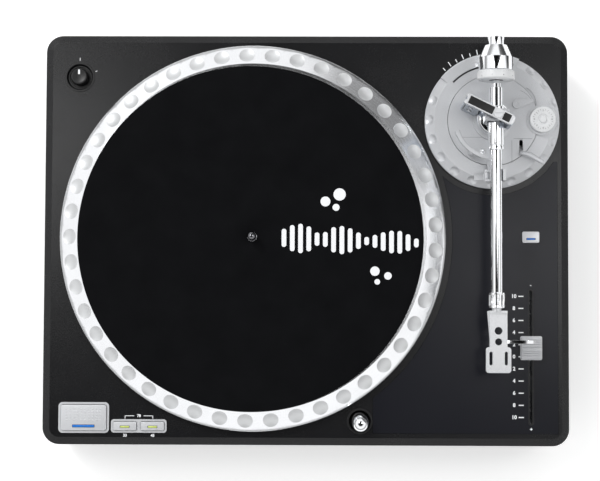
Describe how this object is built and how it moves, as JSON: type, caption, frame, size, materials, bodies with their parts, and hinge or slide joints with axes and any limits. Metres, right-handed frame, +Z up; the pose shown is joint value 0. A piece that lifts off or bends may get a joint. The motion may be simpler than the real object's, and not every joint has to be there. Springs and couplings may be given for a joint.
{
  "type": "turntable record player",
  "caption": "Direct-drive record turntable with dimpled platter, felt mat, straight balanced tonearm, pitch slider and pop-up stylus lamp.",
  "frame": {"origin": "on the surface it stands on, below the middle of the case", "axes": "+X to the right-hand side with the tonearm, +Y to the back with the sockets, +Z up"},
  "size_m": [0.45, 0.352, 0.1491],
  "materials": {
    "case_plastic": "satin dark grey moulded plastic",
    "panel_plastic": "fine-textured dark panel",
    "black_plastic": "matte black",
    "rubber": "matte rubber",
    "steel": "zinc-plated steel",
    "bronze": "oiled bronze",
    "circuit_board": "green solder mask",
    "copper": "enamelled winding wire",
    "magnet": "ferrite",
    "platter_metal": "polished die-cast aluminium",
    "felt": "black felt",
    "chrome": "bright chrome plate",
    "arm_metal": "polished aluminium",
    "silver_plastic": "pearl silver paint",
    "dial_plastic": "white-silver plastic",
    "button_metal": "satin aluminium cap",
    "gold": "gold-plated contact"
  },
  "bodies": {
    "chassis": {"top_cover": "case_plastic", "base_tray": "case_plastic", "foot_housings": "black_plastic", "foot_pads": "rubber", "case_screws": "steel", "control_panel": "panel_plastic", "motor_plate": "steel", "bearing_housing": "bronze", "bearing_bushes": "bronze", "thrust_ball": "steel", "stator_board": "circuit_board", "stator_coils": "copper", "main_board": "circuit_board", "power_supply": "steel", "audio_jacks": "gold", "ground_post": "steel", "mains_inlet": "black_plastic", "power_switch": "black_plastic", "power_trim": "black_plastic", "start_bezel": "silver_plastic", "speed_bezel": "silver_plastic", "switch_board": "circuit_board", "fader_body": "steel", "fader_trim": "black_plastic", "lamp_collar": "black_plastic", "height_guide": "black_plastic"},
    "rotor": {"platter": "platter_metal", "slipmat": "felt", "spindle": "steel", "rotor_magnet": "magnet"},
    "power_dial": {"power_knob": "black_plastic"},
    "start_key": {"start_button": "button_metal"},
    "key_33": {"button_33": "button_metal"},
    "key_45": {"button_45": "button_metal"},
    "quartz_key": {"quartz_button": "button_metal"},
    "pitch_slider": {"fader_knob": "silver_plastic"},
    "lamp": {"target_lamp": "chrome"},
    "output_switch": {"line_switch": "dial_plastic"},
    "ring_nut": {"height_ring": "silver_plastic"},
    "arm_mount": {"arm_base": "silver_plastic", "pillar": "chrome", "gimbal_bridge": "chrome", "pivot_screw": "chrome", "arm_rest": "silver_plastic"},
    "gimbal": {"gimbal_yoke": "steel"},
    "tonearm": {"arm_sleeve": "arm_metal", "arm_tube": "arm_metal", "headshell": "arm_metal", "finger_lift": "arm_metal"},
    "collar": {"locking_collar": "arm_metal"},
    "weight_carrier": {"weight_sleeve": "black_plastic"},
    "weight": {"counterweight": "chrome", "weight_cap": "arm_metal"},
    "gram_dial": {"force_dial": "dial_plastic"},
    "skate_dial": {"antiskate_dial": "dial_plastic"},
    "lock": {"lock_lever": "silver_plastic"},
    "cue_handle": {"cue_lever": "silver_plastic"},
    "lifter": {"cue_lift": "silver_plastic"},
    "clip": {"rest_clip": "silver_plastic"}
  },
  "joints": [
    {"name": "platter_spin", "type": "hinge", "parent": "chassis", "child": "rotor", "pos_m": [-0.0455, 0.001, 0.088], "axis": [0, 0, -1], "continuous": true},
    {"name": "power_turn", "type": "hinge", "parent": "chassis", "child": "power_dial", "pos_m": [-0.1954, 0.1394, 0.088], "axis": [0, 0, -1], "range_deg": [0, 70]},
    {"name": "start_press", "type": "slide", "parent": "chassis", "child": "start_key", "axis": [0, 0, -1], "range_m": [0, 0.0012], "stiffness_N_per_m": 300, "springref_m": -0.002},
    {"name": "press_33", "type": "slide", "parent": "chassis", "child": "key_33", "axis": [0, 0, -1], "range_m": [0, 0.0012], "stiffness_N_per_m": 300, "springref_m": -0.001},
    {"name": "press_45", "type": "slide", "parent": "chassis", "child": "key_45", "axis": [0, 0, -1], "range_m": [0, 0.0012], "stiffness_N_per_m": 300, "springref_m": -0.001},
    {"name": "quartz_press", "type": "slide", "parent": "chassis", "child": "quartz_key", "axis": [0, 0, -1], "range_m": [0, 0.0012], "stiffness_N_per_m": 300, "springref_m": -0.001},
    {"name": "pitch_slide", "type": "slide", "parent": "chassis", "child": "pitch_slider", "axis": [0, 1, 0], "range_m": [-0.0584, 0.0444]},
    {"name": "lamp_press", "type": "slide", "parent": "chassis", "child": "lamp", "axis": [0, 0, -1], "range_m": [0, 0.012], "stiffness_N_per_m": 40, "springref_m": -0.015},
    {"name": "output_select", "type": "slide", "parent": "chassis", "child": "output_switch", "axis": [1, 0, 0], "range_m": [0, 0.003]},
    {"name": "ring_turn", "type": "hinge", "parent": "chassis", "child": "ring_nut", "pos_m": [0.159, 0.101, 0.088], "axis": [0, 0, 1], "range_deg": [0, 60]},
    {"name": "arm_height", "type": "slide", "parent": "chassis", "child": "arm_mount", "axis": [0, 0, 1], "range_m": [0, 0.006]},
    {"name": "arm_swing", "type": "hinge", "parent": "arm_mount", "child": "gimbal", "pos_m": [0.159, 0.101, 0.128], "axis": [0, 0, -1], "range_deg": [0, 52]},
    {"name": "arm_lift", "type": "hinge", "parent": "gimbal", "child": "tonearm", "pos_m": [0.159, 0.101, 0.128], "axis": [-1, 0, 0], "range_deg": [0, 12]},
    {"name": "collar_turn", "type": "hinge", "parent": "tonearm", "child": "collar", "pos_m": [0.159, 0.101, 0.128], "axis": [0, 1, 0], "range_deg": [0, 30]},
    {"name": "weight_travel", "type": "slide", "parent": "tonearm", "child": "weight_carrier", "axis": [0, 1, 0], "range_m": [-0.006, 0.006]},
    {"name": "weight_turn", "type": "hinge", "parent": "weight_carrier", "child": "weight", "pos_m": [0.159, 0.101, 0.128], "axis": [0, 1, 0], "range_deg": [-720, 720]},
    {"name": "gram_dial_turn", "type": "hinge", "parent": "weight_carrier", "child": "gram_dial", "pos_m": [0.159, 0.101, 0.128], "axis": [0, 1, 0], "continuous": true},
    {"name": "skate_turn", "type": "hinge", "parent": "arm_mount", "child": "skate_dial", "pos_m": [0.2008, 0.1013, 0.102], "axis": [0, 0, 1], "range_deg": [0, 270]},
    {"name": "lock_turn", "type": "hinge", "parent": "arm_mount", "child": "lock", "pos_m": [0.1793, 0.1149, 0.101], "axis": [0, 0, 1], "range_deg": [0, 35]},
    {"name": "cue_turn", "type": "hinge", "parent": "arm_mount", "child": "cue_handle", "pos_m": [0.1828, 0.0785, 0.093], "axis": [-1, 0, 0], "range_deg": [0, 50]},
    {"name": "lifter_rise", "type": "slide", "parent": "arm_mount", "child": "lifter", "axis": [0, 0, 1], "range_m": [0, 0.003]},
    {"name": "clip_close", "type": "hinge", "parent": "arm_mount", "child": "clip", "pos_m": [0.1518, 0.052, 0.1185], "axis": [0, 1, 0], "range_deg": [0, 178]}
  ],
  "couplings": [
    {"joint": "arm_height", "follows": "ring_turn", "m_per_rad": 0.0057},
    {"joint": "weight_travel", "follows": "weight_turn", "m_per_rad": 0.000477},
    {"joint": "lifter_rise", "follows": "cue_turn", "m_per_rad": 0.0034}
  ]
}
